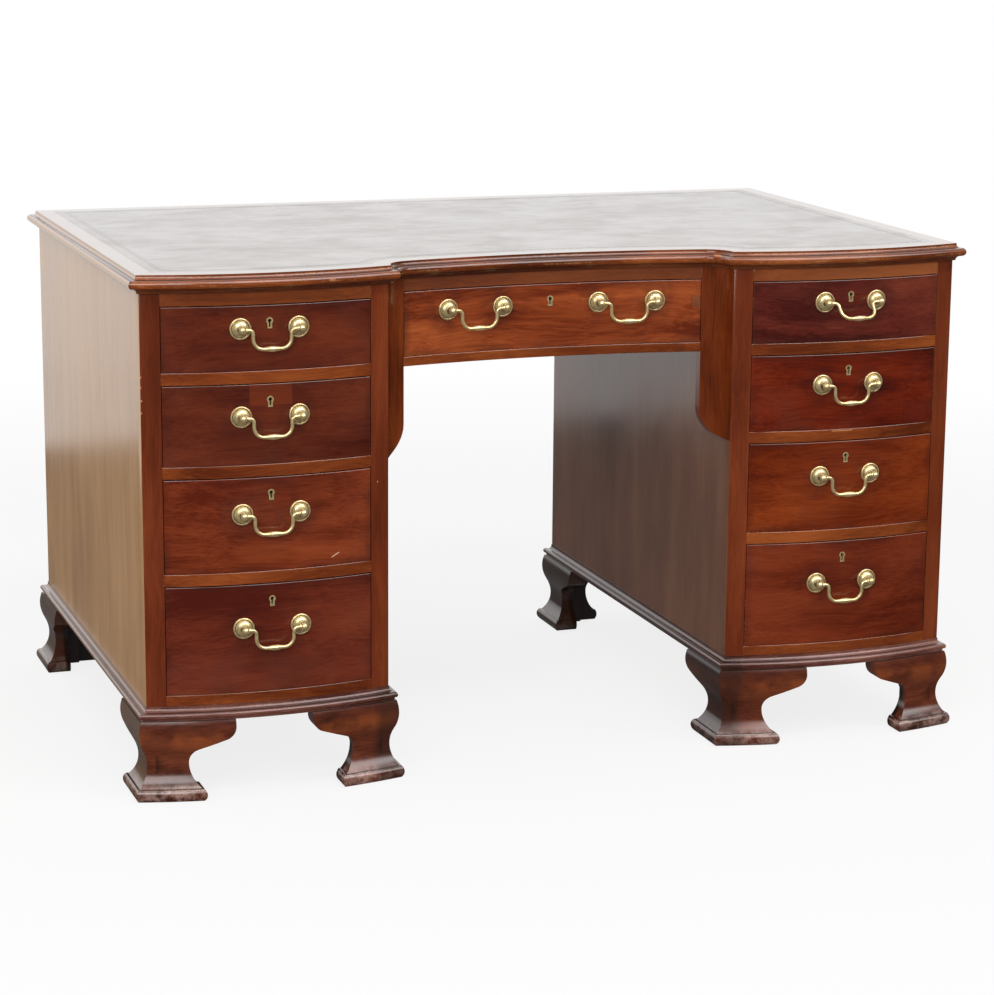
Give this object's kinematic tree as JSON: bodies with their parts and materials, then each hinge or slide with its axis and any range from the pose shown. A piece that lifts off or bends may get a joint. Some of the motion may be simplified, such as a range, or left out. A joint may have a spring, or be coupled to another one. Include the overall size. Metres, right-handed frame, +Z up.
{
  "type": "kneehole desk",
  "caption": "Bow-fronted kneehole desk: two pedestals of graduated drawers, hollow frieze drawer, leather-lined top, ogee bracket feet and swinging bail handles.",
  "frame": {"origin": "on the floor under the middle of the desk's outer box", "axes": "+X to the desk's right as the sitter sees it, -Y towards the sitter, +Z up"},
  "size_m": [1.342, 0.8796, 0.7845],
  "materials": {
    "mahogany_case": "old French polish, glossy, worn at the edges",
    "mahogany_fronts": "old French polish over figured veneer",
    "lining_wood": "bare planed secondary wood",
    "leather": "waxed hide with a tooled border line",
    "brass": "aged, dull polish",
    "steel": "plain"
  },
  "bodies": {
    "case": {"desk_top_border": "mahogany_case", "desk_top_core": "lining_wood", "writing_leather": "leather", "left_pedestal_sides": "mahogany_case", "right_pedestal_sides": "mahogany_case", "back_panels": "mahogany_case", "front_stiles": "mahogany_case", "drawer_rails": "mahogany_case", "kneehole_brackets": "mahogany_case", "drawer_runners": "lining_wood", "bottom_boards": "lining_wood", "base_mouldings": "mahogany_case", "left_feet": "mahogany_case", "right_feet": "mahogany_case"},
    "left_drawer_one": {"left_drawer_one_front": "mahogany_fronts", "left_drawer_one_box": "lining_wood", "left_drawer_one_fittings": "brass"},
    "left_drawer_one_lock_bolt": {"left_drawer_one_lock_bolt": "steel"},
    "left_drawer_one_bail": {"left_drawer_one_bail": "brass"},
    "left_drawer_two": {"left_drawer_two_front": "mahogany_fronts", "left_drawer_two_box": "lining_wood", "left_drawer_two_fittings": "brass"},
    "left_drawer_two_lock_bolt": {"left_drawer_two_lock_bolt": "steel"},
    "left_drawer_two_bail": {"left_drawer_two_bail": "brass"},
    "left_drawer_three": {"left_drawer_three_front": "mahogany_fronts", "left_drawer_three_box": "lining_wood", "left_drawer_three_fittings": "brass"},
    "left_drawer_three_lock_bolt": {"left_drawer_three_lock_bolt": "steel"},
    "left_drawer_three_bail": {"left_drawer_three_bail": "brass"},
    "left_drawer_four": {"left_drawer_four_front": "mahogany_fronts", "left_drawer_four_box": "lining_wood", "left_drawer_four_fittings": "brass"},
    "left_drawer_four_lock_bolt": {"left_drawer_four_lock_bolt": "steel"},
    "left_drawer_four_bail": {"left_drawer_four_bail": "brass"},
    "right_drawer_one": {"right_drawer_one_front": "mahogany_fronts", "right_drawer_one_box": "lining_wood", "right_drawer_one_fittings": "brass"},
    "right_drawer_one_lock_bolt": {"right_drawer_one_lock_bolt": "steel"},
    "right_drawer_one_bail": {"right_drawer_one_bail": "brass"},
    "right_drawer_two": {"right_drawer_two_front": "mahogany_fronts", "right_drawer_two_box": "lining_wood", "right_drawer_two_fittings": "brass"},
    "right_drawer_two_lock_bolt": {"right_drawer_two_lock_bolt": "steel"},
    "right_drawer_two_bail": {"right_drawer_two_bail": "brass"},
    "right_drawer_three": {"right_drawer_three_front": "mahogany_fronts", "right_drawer_three_box": "lining_wood", "right_drawer_three_fittings": "brass"},
    "right_drawer_three_lock_bolt": {"right_drawer_three_lock_bolt": "steel"},
    "right_drawer_three_bail": {"right_drawer_three_bail": "brass"},
    "right_drawer_four": {"right_drawer_four_front": "mahogany_fronts", "right_drawer_four_box": "lining_wood", "right_drawer_four_fittings": "brass"},
    "right_drawer_four_lock_bolt": {"right_drawer_four_lock_bolt": "steel"},
    "right_drawer_four_bail": {"right_drawer_four_bail": "brass"},
    "centre_drawer": {"centre_drawer_front": "mahogany_fronts", "centre_drawer_box": "lining_wood", "centre_drawer_fittings": "brass"},
    "centre_drawer_lock_bolt": {"centre_drawer_lock_bolt": "steel"},
    "centre_drawer_left_bail": {"centre_drawer_left_bail": "brass"},
    "centre_drawer_right_bail": {"centre_drawer_right_bail": "brass"}
  },
  "joints": [
    {"name": "left_drawer_one_slide", "type": "slide", "parent": "case", "child": "left_drawer_one", "axis": [0, -1, 0], "range_m": [0, 0.46]},
    {"name": "left_drawer_one_lock_throw", "type": "slide", "parent": "left_drawer_one", "child": "left_drawer_one_lock_bolt", "axis": [0, 0, 1], "range_m": [0, 0.008]},
    {"name": "left_drawer_one_bail_hinge", "type": "hinge", "parent": "left_drawer_one", "child": "left_drawer_one_bail", "pos_m": [-0.4635, -0.41677, 0.7035], "axis": [-1, 0, 0], "range_deg": [-20, 200]},
    {"name": "left_drawer_two_slide", "type": "slide", "parent": "case", "child": "left_drawer_two", "axis": [0, -1, 0], "range_m": [0, 0.46]},
    {"name": "left_drawer_two_lock_throw", "type": "slide", "parent": "left_drawer_two", "child": "left_drawer_two_lock_bolt", "axis": [0, 0, 1], "range_m": [0, 0.008]},
    {"name": "left_drawer_two_bail_hinge", "type": "hinge", "parent": "left_drawer_two", "child": "left_drawer_two_bail", "pos_m": [-0.4635, -0.41677, 0.574], "axis": [-1, 0, 0], "range_deg": [-20, 200]},
    {"name": "left_drawer_three_slide", "type": "slide", "parent": "case", "child": "left_drawer_three", "axis": [0, -1, 0], "range_m": [0, 0.46]},
    {"name": "left_drawer_three_lock_throw", "type": "slide", "parent": "left_drawer_three", "child": "left_drawer_three_lock_bolt", "axis": [0, 0, 1], "range_m": [0, 0.008]},
    {"name": "left_drawer_three_bail_hinge", "type": "hinge", "parent": "left_drawer_three", "child": "left_drawer_three_bail", "pos_m": [-0.4635, -0.41677, 0.429], "axis": [-1, 0, 0], "range_deg": [-20, 200]},
    {"name": "left_drawer_four_slide", "type": "slide", "parent": "case", "child": "left_drawer_four", "axis": [0, -1, 0], "range_m": [0, 0.46]},
    {"name": "left_drawer_four_lock_throw", "type": "slide", "parent": "left_drawer_four", "child": "left_drawer_four_lock_bolt", "axis": [0, 0, 1], "range_m": [0, 0.008]},
    {"name": "left_drawer_four_bail_hinge", "type": "hinge", "parent": "left_drawer_four", "child": "left_drawer_four_bail", "pos_m": [-0.4635, -0.41677, 0.257], "axis": [-1, 0, 0], "range_deg": [-20, 200]},
    {"name": "right_drawer_one_slide", "type": "slide", "parent": "case", "child": "right_drawer_one", "axis": [0, -1, 0], "range_m": [0, 0.46]},
    {"name": "right_drawer_one_lock_throw", "type": "slide", "parent": "right_drawer_one", "child": "right_drawer_one_lock_bolt", "axis": [0, 0, 1], "range_m": [0, 0.008]},
    {"name": "right_drawer_one_bail_hinge", "type": "hinge", "parent": "right_drawer_one", "child": "right_drawer_one_bail", "pos_m": [0.4635, -0.41677, 0.7035], "axis": [-1, 0, 0], "range_deg": [-60, 160]},
    {"name": "right_drawer_two_slide", "type": "slide", "parent": "case", "child": "right_drawer_two", "axis": [0, -1, 0], "range_m": [0, 0.46]},
    {"name": "right_drawer_two_lock_throw", "type": "slide", "parent": "right_drawer_two", "child": "right_drawer_two_lock_bolt", "axis": [0, 0, 1], "range_m": [0, 0.008]},
    {"name": "right_drawer_two_bail_hinge", "type": "hinge", "parent": "right_drawer_two", "child": "right_drawer_two_bail", "pos_m": [0.4635, -0.41677, 0.574], "axis": [-1, 0, 0], "range_deg": [-20, 200]},
    {"name": "right_drawer_three_slide", "type": "slide", "parent": "case", "child": "right_drawer_three", "axis": [0, -1, 0], "range_m": [0, 0.46]},
    {"name": "right_drawer_three_lock_throw", "type": "slide", "parent": "right_drawer_three", "child": "right_drawer_three_lock_bolt", "axis": [0, 0, 1], "range_m": [0, 0.008]},
    {"name": "right_drawer_three_bail_hinge", "type": "hinge", "parent": "right_drawer_three", "child": "right_drawer_three_bail", "pos_m": [0.4635, -0.41677, 0.429], "axis": [-1, 0, 0], "range_deg": [-20, 200]},
    {"name": "right_drawer_four_slide", "type": "slide", "parent": "case", "child": "right_drawer_four", "axis": [0, -1, 0], "range_m": [0, 0.46]},
    {"name": "right_drawer_four_lock_throw", "type": "slide", "parent": "right_drawer_four", "child": "right_drawer_four_lock_bolt", "axis": [0, 0, 1], "range_m": [0, 0.008]},
    {"name": "right_drawer_four_bail_hinge", "type": "hinge", "parent": "right_drawer_four", "child": "right_drawer_four_bail", "pos_m": [0.4635, -0.41677, 0.257], "axis": [-1, 0, 0], "range_deg": [-20, 200]},
    {"name": "centre_drawer_slide", "type": "slide", "parent": "case", "child": "centre_drawer", "axis": [0, -1, 0], "range_m": [0, 0.46]},
    {"name": "centre_drawer_lock_throw", "type": "slide", "parent": "centre_drawer", "child": "centre_drawer_lock_bolt", "axis": [0, 0, 1], "range_m": [0, 0.008]},
    {"name": "centre_drawer_left_bail_hinge", "type": "hinge", "parent": "centre_drawer", "child": "centre_drawer_left_bail", "pos_m": [-0.12093, -0.33664, 0.706], "axis": [-0.9955, -0.0945, 0], "range_deg": [-20, 200]},
    {"name": "centre_drawer_right_bail_hinge", "type": "hinge", "parent": "centre_drawer", "child": "centre_drawer_right_bail", "pos_m": [0.12093, -0.33664, 0.706], "axis": [-0.9955, 0.0945, 0], "range_deg": [-20, 200]}
  ]
}
